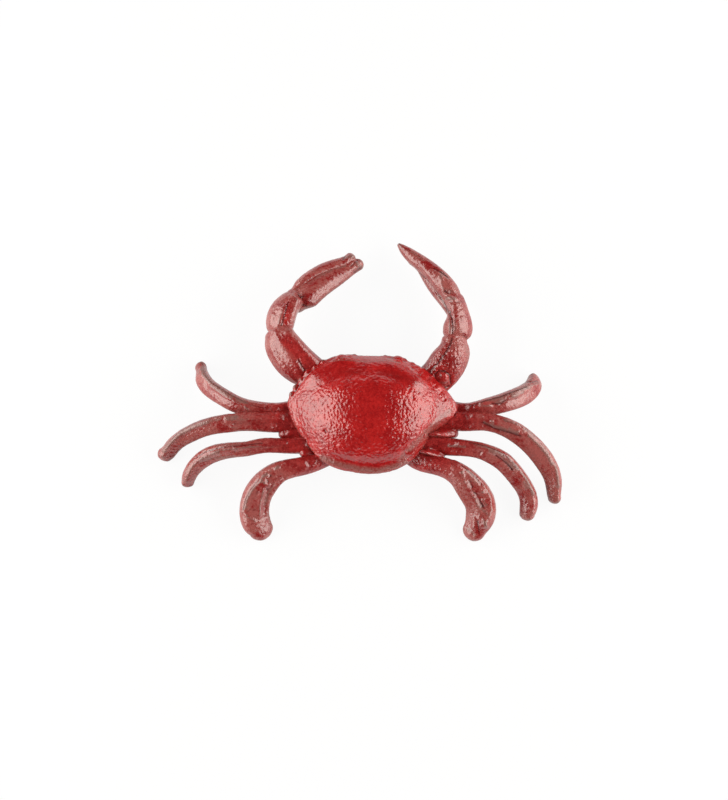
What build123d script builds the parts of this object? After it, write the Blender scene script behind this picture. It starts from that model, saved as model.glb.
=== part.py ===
from build123d import *
import math
import os

# Cast iron crab figurine in millimetres, +Z up, head towards +Y, standing on its eight feet.
# Everything is laid out from the middle of the shell, and the finished pieces are then moved
# so that the origin is at the middle of the footprint, on the ground.

# Shell
shell_width = 63.0
shell_depth = 44.0
shell_rise = 16.0
shell_wall = 3.0
split_height = 12.5
tooth_radius = 1.4
eye_radius = 1.0
lobe_radius = 3.0
bump_inset = 0.98

# Underbody
belly_height = 4.5
lip_rise = 1.5
fit_clearance = 0.1
web_radius = 2.0
web_length = 9.0
flap_thickness = 0.8
flap_length = 11.0
flap_root_width = 15.0
flap_tip_width = 5.0
flap_groove = 0.5
flap_grooves = 3
flap_start = 0.93

# Body screw and its boss
boss_diameter = 9.0
screw_diameter = 4.0
thread_clearance = 0.05
screw_hole_clearance = 0.2
screw_engagement = 7.0
screw_head_diameter = 7.0
screw_head_height = 2.2
screw_head_sink = 0.5
screw_slot_width = 1.0
screw_slot_depth = 1.0

# Limbs
root_height = 9.0
leg_tenon_diameter = 3.0
claw_tenon_diameter = 4.0
wrist_tenon_diameter = 4.0
wrist_tenon_reach = 5.0
finger_tenon_diameter = 3.0
finger_tenon_reach = 4.0
knob_radius = 2.6

half_width = shell_width / 2
half_depth = shell_depth / 2

# The shell's edge seen from above, as shares of its half width and half depth: the end of each
# arc and a point on the way to it, from the right corner round by the front
edge_start = (0.965, -0.07)
edge_arcs = [
    ((1.00, 0.08), (0.95, 0.25)),
    ((0.85, 0.44), (0.71, 0.62)),
    ((0.58, 0.78), (0.41, 0.90)),
    ((0.28, 0.965), (0.14, 0.98)),
    ((-0.05, 0.98), (-0.27, 0.995)),
    ((-0.48, 0.945), (-0.67, 0.82)),
    ((-0.87, 0.53), (-1.00, 0.19)),
    ((-0.92, -0.17), (-0.77, -0.49)),
    ((-0.55, -0.84), (-0.25, -0.985)),
    ((0.00, -1.025), (0.24, -0.97)),
    ((0.50, -0.75), (0.67, -0.37)),
    ((0.82, -0.215), (0.965, -0.07)),
]

# Share of the rise, share of the half sizes and share of the way from the edge's outline to a plain
# oval, from the split up to the crown
dome_profile = [
    (0.00, 0.955, 0.00),
    (0.06, 1.000, 0.00),
    (0.14, 0.975, 0.15),
    (0.30, 0.900, 0.45),
    (0.50, 0.785, 0.75),
    (0.68, 0.645, 1.00),
    (0.83, 0.475, 1.00),
    (0.93, 0.310, 1.00),
    (0.985, 0.150, 1.00),
    (1.00, 0.055, 1.00),
]
cavity_profile = [(0.00, 0.975, 0.00), (0.14, 0.950, 0.15)] + dome_profile[3:]
oval_size = 0.90

# Share of the way up from belly to split and share of the half sizes
belly_profile = [(0.0, 0.68), (0.2, 0.80), (0.55, 0.89), (1.0, 0.945)]

tooth_places = [
    (0.38, 0.90), (0.48, 0.83), (0.60, 0.73), (0.70, 0.61), (0.775, 0.48), (0.84, 0.36), (0.91, 0.24),
    (-0.59, 0.87), (-0.68, 0.79), (-0.77, 0.68), (-0.845, 0.56), (-0.91, 0.44), (-0.955, 0.32),
]
eye_places = [(-0.21, 0.985), (0.155, 0.97)]
lobe_places = [(-0.36, 0.875), (0.305, 0.865)]

# Webs between the leg roots: middle as shares of the half sizes, and heading in degrees
web_places = [(0.81, -0.31, 0), (0.66, -0.61, -15), (-0.90, -0.32, 180), (-0.65, -0.61, 190)]

# Each limb starts at its root inside the underbody, given as shares of the half sizes, and runs
# through stations: x and y from the root, height above the ground, width and thickness
legs = {
    "left_leg_1": ((-0.70, 0.20), [
        (-8.5, -2.3, 9.5, 6.5, 6.5), (-15.0, -2.9, 10.5, 6.0, 6.0), (-21.0, -2.5, 12.0, 6.1, 6.0),
        (-27.0, -1.3, 12.5, 6.3, 6.2), (-32.5, 1.6, 11.5, 6.4, 6.2), (-37.4, 5.1, 9.0, 6.4, 6.0),
        (-40.6, 8.6, 6.5, 6.1, 5.8), (-42.0, 12.5, 4.0, 5.1, 5.2), (-42.4, 15.0, 2.2, 4.4, 5.2)]),
    "left_leg_2": ((-0.70, -0.06), [
        (-7.5, -0.6, 9.5, 8.8, 7.0), (-15.5, -1.4, 11.5, 8.2, 6.8), (-23.5, -1.5, 13.0, 7.3, 6.5),
        (-31.0, -2.4, 13.2, 6.7, 6.3), (-38.0, -3.4, 12.0, 6.3, 6.0), (-44.0, -5.2, 9.5, 6.1, 5.8),
        (-49.9, -7.9, 6.5, 6.0, 5.6), (-55.2, -12.3, 2.4, 5.9, 5.6)]),
    "left_leg_3": ((-0.52, -0.42), [
        (-9.0, -2.0, 9.5, 6.3, 6.5), (-15.5, -2.5, 11.0, 5.6, 6.2), (-23.0, -2.5, 12.5, 5.6, 6.2),
        (-30.5, -4.0, 13.0, 5.5, 6.0), (-36.5, -4.4, 12.5, 5.9, 6.0), (-42.5, -5.5, 10.5, 6.5, 5.8),
        (-47.6, -8.2, 8.0, 6.3, 5.5), (-51.1, -11.9, 5.0, 5.5, 5.2), (-52.3, -14.7, 2.2, 4.7, 5.2)]),
    "left_leg_4": ((-0.33, -0.55), [
        (-9.5, -5.2, 9.5, 6.4, 7.0), (-16.0, -7.3, 10.5, 6.9, 7.0), (-22.5, -8.7, 11.0, 7.7, 6.5),
        (-27.5, -12.0, 10.5, 9.5, 6.5), (-31.2, -16.4, 9.0, 10.6, 6.2), (-33.0, -21.5, 7.0, 11.1, 6.0),
        (-32.7, -26.5, 4.7, 11.0, 5.8), (-30.8, -29.7, 2.45, 9.3, 5.4)]),
    "right_leg_1": ((0.70, 0.20), [
        (7.5, -2.5, 9.5, 6.9, 6.5), (13.5, -2.9, 10.5, 6.0, 6.0), (19.5, -2.1, 12.0, 6.6, 6.0),
        (25.5, -0.5, 12.5, 7.2, 6.2), (30.7, 1.4, 11.0, 7.7, 6.2), (35.6, 4.3, 8.0, 7.6, 6.0),
        (38.3, 7.5, 5.0, 6.6, 5.6), (38.8, 10.2, 2.3, 5.0, 5.4)]),
    "right_leg_2": ((0.70, -0.06), [
        (7.0, -0.4, 9.5, 8.2, 7.0), (13.5, -1.2, 11.5, 7.6, 6.8), (19.5, -1.7, 13.0, 6.8, 6.5),
        (25.0, -3.0, 13.3, 6.9, 6.3), (30.8, -5.8, 13.0, 7.3, 6.2), (36.4, -10.1, 11.5, 7.3, 6.0),
        (41.0, -15.1, 9.5, 7.5, 6.0), (44.1, -19.8, 7.0, 7.0, 5.8), (45.4, -24.5, 4.5, 6.1, 5.4),
        (45.8, -28.7, 2.2, 4.9, 5.2)]),
    "right_leg_3": ((0.52, -0.40), [
        (8.0, -2.5, 9.5, 6.7, 6.5), (14.0, -3.5, 11.5, 6.5, 6.4), (21.0, -4.5, 13.0, 5.9, 6.2),
        (26.7, -6.2, 13.0, 6.6, 6.2), (32.2, -9.2, 11.5, 7.2, 6.0), (36.7, -13.8, 9.0, 7.1, 5.8),
        (40.2, -18.4, 6.5, 6.8, 5.6), (41.7, -23.0, 4.5, 6.9, 5.4), (41.2, -27.1, 2.2, 5.9, 5.2)]),
    "right_leg_4": ((0.33, -0.55), [
        (8.0, -5.2, 9.5, 7.4, 7.0), (14.5, -7.2, 11.0, 7.3, 7.0), (20.0, -9.5, 11.5, 8.2, 6.8),
        (24.3, -13.5, 10.5, 10.4, 6.5), (28.1, -18.0, 8.5, 11.6, 6.2), (29.8, -22.5, 6.5, 11.4, 6.0),
        (29.2, -26.5, 4.5, 10.6, 5.8), (27.3, -30.2, 2.4, 8.6, 5.4)]),
}

left_claw_root = (-0.50, 0.48)
left_arm = [
    (-7.5, 5.5, 9.5, 12.8, 10.5), (-13.2, 9.4, 11.0, 14.2, 12.0), (-17.5, 15.0, 12.0, 13.2, 12.0),
    (-19.1, 19.5, 12.0, 10.6, 10.5)]
left_palm = [
    (-18.8, 22.0, 11.5, 9.8, 10.0), (-18.3, 26.0, 11.5, 10.8, 10.5), (-16.7, 29.9, 11.2, 9.9, 10.0),
    (-14.2, 33.4, 10.5, 8.6, 9.0)]
left_fixed_finger = [
    (-15.7, 31.2, 10.0, 5.2, 7.0), (-13.4, 35.4, 9.5, 4.9, 6.5), (-10.9, 39.2, 9.0, 4.9, 6.0),
    (-7.3, 42.3, 8.7, 5.0, 5.8), (-3.5, 44.8, 8.2, 5.0, 5.5), (0.5, 46.6, 7.7, 5.0, 5.2),
    (4.0, 48.0, 7.0, 4.6, 5.0), (7.5, 50.0, 6.5, 4.5, 4.5)]
left_broad_finger = [
    (-11.8, 31.0, 10.0, 9.4, 8.5), (-9.3, 34.2, 9.8, 10.3, 8.5), (-6.0, 37.5, 9.4, 10.0, 8.2),
    (-2.0, 40.5, 8.8, 9.3, 7.6), (1.6, 42.9, 8.0, 8.5, 6.8), (5.2, 45.2, 7.2, 7.3, 6.0),
    (8.5, 47.0, 6.5, 5.8, 5.0), (10.5, 47.8, 6.0, 4.7, 4.2)]

right_claw_root = (0.55, 0.42)
right_arm = [
    (7.0, 5.5, 9.5, 13.4, 10.5), (11.0, 10.5, 11.0, 13.8, 12.0), (13.2, 15.0, 11.5, 12.0, 11.0),
    (13.4, 18.3, 11.5, 9.7, 9.0)]
right_palm = [
    (13.6, 20.8, 11.2, 9.6, 9.0), (15.0, 24.5, 11.5, 10.8, 10.5), (15.0, 28.0, 11.2, 8.7, 9.5),
    (14.4, 31.5, 10.8, 7.6, 9.0), (13.3, 34.4, 10.2, 7.8, 8.5)]
right_fixed_finger = [
    (13.2, 29.5, 9.5, 4.6, 6.5), (11.0, 33.0, 8.5, 4.5, 6.0), (9.0, 35.5, 7.8, 4.3, 5.5),
    (6.5, 39.0, 7.0, 4.1, 5.2), (4.5, 42.0, 6.4, 3.9, 5.0), (3.0, 45.5, 6.0, 3.7, 4.6),
    (0.5, 48.0, 5.6, 3.3, 4.2), (-2.0, 50.5, 5.3, 3.0, 3.8)]
right_broad_finger = [
    (13.1, 35.2, 9.8, 6.5, 7.5), (11.4, 38.0, 9.5, 7.7, 8.0), (8.9, 41.5, 9.0, 7.8, 8.0),
    (6.1, 44.8, 8.3, 7.0, 7.2), (2.3, 48.6, 7.5, 6.1, 6.2), (-1.7, 51.7, 6.6, 5.4, 5.2),
    (-5.0, 54.8, 5.9, 3.8, 4.0), (-7.0, 56.8, 5.6, 1.6, 2.2)]
knob_offset = (9.0, 4.8, 12.5)

# How full the underside of a limb is, where 0.707 is an ellipse, and for its upper side where the
# ridge lies, as a share of the half width to the left as the limb runs out, and how full the left
# and the right facet are
lower_fullness = 0.72
left_leg_top = (-0.42, 0.64, 0.65)
right_leg_top = (0.42, 0.65, 0.64)
left_claw_top = (-0.06, 0.63, 0.82)
right_claw_top = (0.30, 0.72, 0.63)
finger_top = (0.0, 0.68, 0.68)

# Spacing of the sections of a limb, the angles at which a blunt end is drawn, round a quarter
# circle, and how far an end reaches out, as a share of its width
section_spacing = 5.0
end_angles = (0, 28, 56, 84)
tip_reach = 0.45
joint_reach = 0.28

# Thickness of a limb's root inside the underbody, over the height of its middle above the belly
root_fill = 1.6


def place(share):
    """A point in the plan from its shares of the shell's half sizes"""
    return share[0] * half_width, share[1] * half_depth


def edge_wire(width, depth, height, roundness=0.0):
    """The closed outline of the shell at one height, part way to a plain oval"""
    start = edge_start
    edges = []
    for via, end in edge_arcs:
        points = []
        for x, y in (start, via, end):
            grow = 1 + roundness * (oval_size / math.hypot(x, y) - 1)
            points.append(Vector(x * grow * width, y * grow * depth, height))
        edges.append(Edge.make_three_point_arc(*points))
        start = end
    return Wire(edges)


def dome(inset, rise, profile):
    """A dome over the split, its half sizes drawn in by the inset"""
    wires = []
    for up, size, roundness in profile:
        width, depth = (half_width - inset) * size, (half_depth - inset) * size
        wires.append(edge_wire(width, depth, split_height + up * rise, roundness))
    return Solid.make_loft(wires)


def section(plane, width, thickness, limb_top):
    """A closed outline of four arcs across a limb, with a soft ridge along its top"""
    ridge, left_fullness, right_fullness = limb_top
    half = width / 2
    top = Vector(ridge * half, thickness / 2)
    bottom = Vector(0, -thickness / 2)
    left = Vector(half, 0)
    right = Vector(-half, 0)
    arcs = [(left, top, left_fullness), (top, right, right_fullness),
            (right, bottom, lower_fullness), (bottom, left, lower_fullness)]
    edges = []
    for start, end, fullness in arcs:
        side, pole = (start, end) if start.Y == 0 else (end, start)
        middle = Vector(pole.X + (side.X - pole.X) * fullness, pole.Y * fullness)
        points = [plane.from_local_coords(point) for point in (start, middle, end)]
        edges.append(Edge.make_three_point_arc(*points))
    return Wire(edges)


def eased(stations):
    """Evenly spaced stations on the smooth curve through the given ones"""
    along = [0.0]
    for before, after in zip(stations, stations[1:]):
        along.append(along[-1] + math.dist(before[:3], after[:3]))
    slopes = []
    for i in range(len(stations)):
        j, k = max(i - 1, 0), min(i + 1, len(stations) - 1)
        slopes.append([(b - a) / (along[k] - along[j]) for a, b in zip(stations[j], stations[k])])
    count = max(4, round(along[-1] / section_spacing))
    result = []
    for step in range(count + 1):
        distance = along[-1] * step / count
        i = min(sum(1 for d in along[1:] if d < distance), len(stations) - 2)
        span = along[i + 1] - along[i]
        t = (distance - along[i]) / span
        values = []
        for a, b, m, n in zip(stations[i], stations[i + 1], slopes[i], slopes[i + 1]):
            values.append((2 * t**3 - 3 * t**2 + 1) * a + (t**3 - 2 * t**2 + t) * span * m
                          + (3 * t**2 - 2 * t**3) * b + (t**3 - t**2) * span * n)
        result.append(values)
    return result


def limb_form(stations, limb_top, end_reach=tip_reach, start_reach=0):
    """The loft through a limb's stations, with a blunt round at its far end, and its near one if asked"""
    stations = eased(stations)
    last = len(stations) - 1
    planes = []
    for i, (x, y, z, width, thickness) in enumerate(stations):
        ahead, behind = stations[min(i + 1, last)], stations[max(i - 1, 0)]
        heading = (Vector(*ahead[:3]) - Vector(*behind[:3])).normalized()
        side = Vector(-heading.Y, heading.X, 0).normalized()
        planes.append(Plane((x, y, z), x_dir=side, z_dir=heading))
    form = Solid.make_loft([section(planes[i], *stations[i][3:], limb_top) for i in range(last + 1)])
    for i, reach in ((last, end_reach), (0, -start_reach)):
        if reach:
            width, thickness = stations[i][3:]
            wires = []
            for angle in end_angles:
                shrink = math.cos(math.radians(angle))
                plane = planes[i].offset(reach * width * math.sin(math.radians(angle)))
                wires.append(section(plane, width * shrink, thickness * shrink, limb_top))
            form = form.fuse(Solid.make_loft(wires))
    return form


def from_root(root, offsets):
    """Stations measured from a root, set out in the plan of the whole crab"""
    x0, y0 = place(root)
    return [(x0 + dx, y0 + dy, z, width, thickness) for dx, dy, z, width, thickness in offsets]


def root_station(root, first):
    """The station inside the underbody where a limb starts"""
    x0, y0 = place(root)
    return (x0, y0, root_height, first[3], min(first[4], root_fill * (root_height - belly_height)))


def rod(start, end, diameter, overrun=0.0):
    """A round bar between two points, lengthened past both by the overrun"""
    start, end = Vector(*tuple(start)[:3]), Vector(*tuple(end)[:3])
    heading = (end - start).normalized()
    plane = Plane(start - heading * overrun, z_dir=heading)
    return Solid.make_cylinder(diameter / 2, (end - start).length + 2 * overrun, plane)


def largest(shape):
    """The biggest solid of a cut, which leaves the offcuts behind"""
    return max(shape.solids(), key=lambda solid: solid.volume)


def ball(x, y, z, radius):
    return Solid.make_sphere(radius, Plane((x, y, z)), -90, 90, 360)


def upright(diameter, bottom, top):
    """A cylinder on the screw's axis"""
    return Solid.make_cylinder(diameter / 2, top - bottom, Plane((0, 0, bottom)))


def block(x_size, y_size, bottom, top):
    return Pos(0, 0, (bottom + top) / 2) * Box(x_size, y_size, top - bottom)


ground_cut = block(6 * shell_width, 6 * shell_width, -shell_width, 0)

# Carapace, outer form first, which also trims the limbs
edge_level = split_height + dome_profile[1][0] * shell_rise
bumps = []
for places, radius in ((tooth_places, tooth_radius), (lobe_places, lobe_radius), (eye_places, eye_radius)):
    for x, y in places:
        bumps.append(ball(*place((x * bump_inset, y * bump_inset)), edge_level, radius))
shell_form = dome(0, shell_rise, dome_profile).fuse(*bumps)
shell_form = shell_form.cut(block(3 * shell_width, 3 * shell_width, 0, split_height))

lip_level = split_height + lip_rise
cavity = dome(shell_wall, shell_rise - shell_wall, cavity_profile)
boss_top = split_height + shell_rise - shell_wall / 2
screw_tip = lip_level + screw_engagement
carapace = shell_form.cut(cavity).fuse(upright(boss_diameter, lip_level, boss_top))
threaded_hole = upright(screw_diameter + 2 * thread_clearance, lip_level, screw_tip + fit_clearance)
carapace = carapace.cut(threaded_hole)

# Underbody form, with the webs between the leg roots, which also trims the limbs
belly_wires = []
for up, size in belly_profile:
    level = belly_height + up * (split_height - belly_height)
    belly_wires.append(edge_wire(half_width * size, half_depth * size, level))
webs = []
for share_x, share_y, heading in web_places:
    x, y = place((share_x, share_y))
    reach = Vector(1, 0, 0).rotate(Axis.Z, heading) * (web_length / 2)
    inner, outer = Vector(x, y, root_height) - reach, Vector(x, y, root_height) + reach
    webs.append(rod(inner, outer, 2 * web_radius))
    webs.append(ball(outer.X, outer.Y, outer.Z, web_radius))
    webs.append(ball(inner.X, inner.Y, inner.Z, web_radius))
underbody_form = Solid.make_loft(belly_wires).fuse(*webs)

# Belly flap, a raised tapering plate with cross grooves, let slightly into the belly
flap_rear = -half_depth * belly_profile[0][1] * flap_start
flap_front = flap_rear + flap_length
flap_outline = Polygon(
    (-flap_root_width / 2, flap_rear), (flap_root_width / 2, flap_rear),
    (flap_tip_width / 2, flap_front), (-flap_tip_width / 2, flap_front), align=None)
flap = Pos(0, 0, belly_height - flap_thickness) * extrude(flap_outline, 2 * flap_thickness)
for i in range(flap_grooves):
    groove_y = flap_rear + (i + 1) * flap_length / (flap_grooves + 1)
    groove = Box(shell_width, flap_groove, 2 * flap_groove)
    flap -= Pos(0, groove_y, belly_height - flap_thickness) * groove

# Screw, its head sunk in the belly
head_foot = belly_height + screw_head_sink
head_seat = head_foot + screw_head_height
body_screw = upright(screw_diameter, head_seat, screw_tip)
body_screw = body_screw.fuse(upright(screw_head_diameter, head_foot, head_seat))
screw_slot = block(2 * screw_head_diameter, screw_slot_width, 0, head_foot + screw_slot_depth)
body_screw = body_screw.cut(screw_slot)

spigot = dome(shell_wall + fit_clearance, shell_rise - shell_wall, cavity_profile)
spigot = spigot.intersect(block(2 * shell_width, 2 * shell_width, split_height, lip_level))
underbody = underbody_form.fuse(largest(spigot), largest(flap))
sockets = [
    upright(screw_diameter + 2 * screw_hole_clearance, head_seat, lip_level),
    upright(screw_head_diameter + 2 * screw_hole_clearance, belly_height - flap_thickness, head_seat),
]

pieces = {}


def set_in_underbody(form, root, first, diameter, neighbour=None):
    """Trim a limb by the body, give it its tenon, note the socket for that and trim by its neighbour"""
    start = root_station(root, first)
    limb = largest(form.cut(shell_form, underbody_form, ground_cut))
    sockets.append(rod(start, first, diameter + 2 * fit_clearance, fit_clearance))
    limb = limb.fuse(rod(start, first, diameter))
    return limb if neighbour is None else largest(limb.cut(neighbour))


# Legs: the second of each side is whole, and its neighbours are trimmed where they lie against it
leg_forms = {}
for side, limb_top in (("left", left_leg_top), ("right", right_leg_top)):
    for number, neighbour in ((2, None), (1, 2), (3, 2), (4, 3)):
        root, offsets = legs[f"{side}_leg_{number}"]
        stations = from_root(root, offsets)
        form = limb_form([root_station(root, stations[0])] + stations, limb_top)
        leg_forms[side, number] = form
        pieces[f"{side}_leg_{number}"] = set_in_underbody(
            form, root, stations[0], leg_tenon_diameter, leg_forms.get((side, neighbour)))


def claw(side, root, arm, palm, fixed, broad, limb_top, knob=None):
    """One claw: the arm, the palm with its fixed finger, and the broad finger"""
    arm, palm, fixed, broad = [from_root(root, offsets) for offsets in (arm, palm, fixed, broad)]

    form = limb_form([root_station(root, arm[0])] + arm, limb_top, joint_reach)
    if knob:
        x0, y0 = place(root)
        form = form.fuse(ball(x0 + knob[0], y0 + knob[1], knob[2], knob_radius))
    arm_piece = set_in_underbody(form, root, arm[0], claw_tenon_diameter, leg_forms[side, 1])

    palm_form = limb_form(palm, limb_top, joint_reach, joint_reach)
    palm_form = palm_form.fuse(limb_form(fixed, finger_top))
    palm_piece = largest(palm_form.cut(arm_piece))
    wrist = (Vector(*palm[0][:3]) + Vector(*arm[-1][:3])) / 2
    reach = (Vector(*palm[0][:3]) - Vector(*arm[-1][:3])).normalized() * wrist_tenon_reach
    wrist_start, wrist_end = wrist - reach, wrist + reach
    wrist_socket = rod(wrist_start, wrist_end, wrist_tenon_diameter + 2 * fit_clearance, fit_clearance)
    arm_piece = arm_piece.fuse(rod(wrist_start, wrist_end, wrist_tenon_diameter))

    finger_piece = largest(limb_form(broad, finger_top, tip_reach, joint_reach).cut(palm_form))
    knuckle = Vector(*broad[1][:3])
    pin_end = knuckle + (Vector(*broad[0][:3]) - knuckle).normalized() * (2 * finger_tenon_reach)
    finger_piece = finger_piece.fuse(rod(knuckle, pin_end, finger_tenon_diameter))
    finger_socket = rod(knuckle, pin_end, finger_tenon_diameter + 2 * fit_clearance, fit_clearance)

    pieces[f"{side}_claw_arm"] = arm_piece
    pieces[f"{side}_claw_palm"] = palm_piece.cut(wrist_socket, finger_socket)
    pieces[f"{side}_claw_finger"] = finger_piece


claw("left", left_claw_root, left_arm, left_palm, left_fixed_finger, left_broad_finger, left_claw_top)
claw("right", right_claw_root, right_arm, right_palm, right_fixed_finger, right_broad_finger,
     right_claw_top, knob_offset)

pieces["carapace"] = carapace
pieces["underbody"] = underbody.cut(*sockets)
pieces["body_screw"] = body_screw

# Move everything so that the origin is at the middle of the footprint, on the ground
whole = Compound([solid for piece in pieces.values() for solid in piece.solids()]).bounding_box()
to_origin = Pos(-whole.center().X, -whole.center().Y, 0)

os.makedirs("parts", exist_ok=True)
for name, piece in pieces.items():
    export_step(to_origin * Compound(piece.solids()), f"parts/{name}.step")
    print(name, len(piece.solids()), "solid, volume", round(sum(s.volume for s in piece.solids())))
print("size", [round(v, 2) for v in (whole.size.X, whole.size.Y, whole.size.Z)])
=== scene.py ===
import math

import bpy
import numpy as np
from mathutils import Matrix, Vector
from mathutils.bvhtree import BVHTree


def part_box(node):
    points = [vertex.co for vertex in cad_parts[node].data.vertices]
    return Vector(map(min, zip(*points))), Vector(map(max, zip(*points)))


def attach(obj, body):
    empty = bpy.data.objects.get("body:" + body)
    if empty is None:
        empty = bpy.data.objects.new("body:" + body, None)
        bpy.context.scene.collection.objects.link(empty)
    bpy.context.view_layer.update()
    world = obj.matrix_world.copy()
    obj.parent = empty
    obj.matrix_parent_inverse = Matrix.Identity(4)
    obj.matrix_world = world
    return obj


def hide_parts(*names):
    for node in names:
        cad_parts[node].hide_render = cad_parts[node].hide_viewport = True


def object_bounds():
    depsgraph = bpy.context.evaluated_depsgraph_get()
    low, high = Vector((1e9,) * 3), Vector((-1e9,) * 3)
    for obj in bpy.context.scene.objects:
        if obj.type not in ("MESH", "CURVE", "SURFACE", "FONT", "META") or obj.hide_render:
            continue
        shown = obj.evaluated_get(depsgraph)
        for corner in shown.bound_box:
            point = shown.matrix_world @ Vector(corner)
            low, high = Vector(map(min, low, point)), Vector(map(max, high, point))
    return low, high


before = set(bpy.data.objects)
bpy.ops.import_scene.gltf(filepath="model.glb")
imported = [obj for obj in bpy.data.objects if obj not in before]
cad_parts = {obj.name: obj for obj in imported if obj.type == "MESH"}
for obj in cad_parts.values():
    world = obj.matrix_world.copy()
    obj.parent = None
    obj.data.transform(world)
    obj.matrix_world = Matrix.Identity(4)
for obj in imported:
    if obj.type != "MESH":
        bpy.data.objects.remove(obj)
cad_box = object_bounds()

MM = 0.001


# Shader maths

def add_node(tree, kind, settings, values, output=0):
    """Add a node, set its options, feed its inputs with wires or numbers, and return one of its outputs"""
    made = tree.nodes.new(kind)
    for name, value in settings.items():
        setattr(made, name, value)
    pairs = values.items() if isinstance(values, dict) else enumerate(values)
    for socket, value in pairs:
        if isinstance(value, Wire):
            tree.links.new(value.socket, made.inputs[socket])
        else:
            made.inputs[socket].default_value = value
    return Wire(tree, made.outputs[output])


class Wire:
    """One output of a node, on which + - * work as they do on numbers"""

    def __init__(self, tree, socket):
        self.tree, self.socket = tree, socket

    def math(self, operation, *values):
        return add_node(self.tree, "ShaderNodeMath", {"operation": operation}, values)

    def __add__(self, other):
        return self.math("ADD", self, other)

    def __radd__(self, other):
        return self.math("ADD", other, self)

    def __sub__(self, other):
        return self.math("SUBTRACT", self, other)

    def __rsub__(self, other):
        return self.math("SUBTRACT", other, self)

    def __mul__(self, other):
        return self.math("MULTIPLY", self, other)

    def larger(self, other):
        return self.math("MAXIMUM", self, other)

    def between(self, low, high):
        """0 below the low value, 1 above the high one, smooth from one to the other"""
        values = {"Value": self, "From Min": low, "From Max": high, "To Min": 0.0, "To Max": 1.0}
        return add_node(self.tree, "ShaderNodeMapRange", {"interpolation_type": "SMOOTHSTEP"}, values)


# The sockets that Blender's mix node uses when it blends colours
MIX_FACTOR, MIX_FIRST, MIX_SECOND, MIX_RESULT = 0, 6, 7, 2

NOISE_MIDDLE = 0.5
PEBBLE_SMOOTHNESS = 0.4


class Paint:
    """A material with one Principled shader, and the nodes that feed it"""

    def __init__(self, name, **constants):
        self.material = bpy.data.materials.new(name)
        self.material.use_nodes = True
        self.tree = self.material.node_tree
        self.shader = self.tree.nodes["Principled BSDF"]
        for socket, value in constants.items():
            self.shader.inputs[socket].default_value = value
        coordinates = self.tree.nodes.new("ShaderNodeTexCoord")
        self.place = Wire(self.tree, coordinates.outputs["Object"])

    def noise(self, size, detail, roughness):
        """Soft noise whose blotches are about the given size in metres"""
        values = {"Vector": self.place, "Scale": 1 / size, "Detail": detail, "Roughness": roughness}
        return add_node(self.tree, "ShaderNodeTexNoise", {}, values, "Fac")

    def vector(self, operation, values):
        return add_node(self.tree, "ShaderNodeVectorMath", {"operation": operation}, values)

    def cells(self, size, wobble):
        """Uneven pebbles about the given size across, 1 in their middles and less between them"""
        values = {"Vector": self.place, "Scale": 1 / size, "Detail": 1.0}
        drift = add_node(self.tree, "ShaderNodeTexNoise", {}, values, "Color")
        centred = self.vector("SUBTRACT", {0: drift, 1: (NOISE_MIDDLE,) * 3})
        scaled = self.vector("SCALE", {0: centred, "Scale": wobble})
        place = self.vector("ADD", {0: self.place, 1: scaled})
        values = {"Vector": place, "Scale": 1 / size, "Smoothness": PEBBLE_SMOOTHNESS}
        distance = add_node(self.tree, "ShaderNodeTexVoronoi", {"feature": "SMOOTH_F1"}, values, "Distance")
        return 1 - distance

    def mark(self, name):
        """A value stored on the piece's own vertices"""
        return add_node(self.tree, "ShaderNodeAttribute", {"attribute_name": name}, {}, "Fac")

    def blend(self, factor, first, second):
        """From the first colour at 0 to the second at 1"""
        values = {MIX_FACTOR: factor, MIX_FIRST: first, MIX_SECOND: second}
        for socket, value in values.items():
            if isinstance(value, tuple):
                values[socket] = value + (1.0,)
        return add_node(self.tree, "ShaderNodeMix", {"data_type": "RGBA"}, values, MIX_RESULT)

    def bump(self, height, distance, strength, under=None):
        """Relief of the given height in metres, over that of another bump"""
        values = {"Height": height, "Distance": distance, "Strength": strength}
        if under:
            values["Normal"] = under
        return add_node(self.tree, "ShaderNodeBump", {}, values, "Normal")

    def feed(self, socket, wire):
        self.tree.links.new(wire.socket, self.shader.inputs[socket])


def ragged(mark, noise, amount):
    """A mark whose edges follow a noise"""
    return mark + (noise - NOISE_MIDDLE) * amount


# Finishes

# Sizes of the blotches in the paint, and of the pebbles in the cast skin under it
MOTTLE, GRAIN, SPECKLE, FINE_GRAIN = 7 * MM, 1.1 * MM, 0.55 * MM, 0.5 * MM
PEBBLE_SIZE = 1.2 * MM
PEBBLE_WOBBLE = 0.6
FINE_DEPTH, FINE_STRENGTH = 0.05 * MM, 0.7
POLISHING = 0.85

# Where each layer of the paint begins and where it is full
BRIGHT_PATCHES = (0.40, 0.60)
# Of these, the sloping sides and the recesses are painted shade
SHADED_SIDES = (0.35, 1.05)
DULL_PATCHES = (0.38, 0.56)
SHADED_RECESSES = (0.2, 1.0)
RUB_SOFTNESS = 0.6

# How far the noises move the edge of the painted shade in a hollow or on a sloping side, and that of a
# rubbed place
RAGGED, RAGGED_RUB = 0.3, 0.5

# How much rougher the grain and the rubbing make the paint, and the grain that leaves it as it is
GRAIN_ROUGHNESS, RUB_ROUGHNESS = 0.25, 0.12
SMOOTH_GRAIN = 0.3

# How much of what lies under it a full layer hides
SIDE_SHADE_COVER, DULL_COVER, RUB_COVER, RECESS_SHADE_COVER = 0.75, 0.65, 0.8, 0.8

# The two browns are painted shade for the sloping sides, and the darkest red after them is painted shade
# for hollows and grooves
SIDE_SHADE_BROWN, SIDE_SHADE_RED_BROWN = (0.14, 0.05, 0.036), (0.27, 0.07, 0.050)
DULL_RED, RUBBED_RED, RECESS_SHADE_RED = (0.32, 0.12, 0.105), (0.22, 0.095, 0.08), (0.06, 0.006, 0.006)
STEEL_GREY, RUST = (0.28, 0.24, 0.22), (0.16, 0.04, 0.035)

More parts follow.
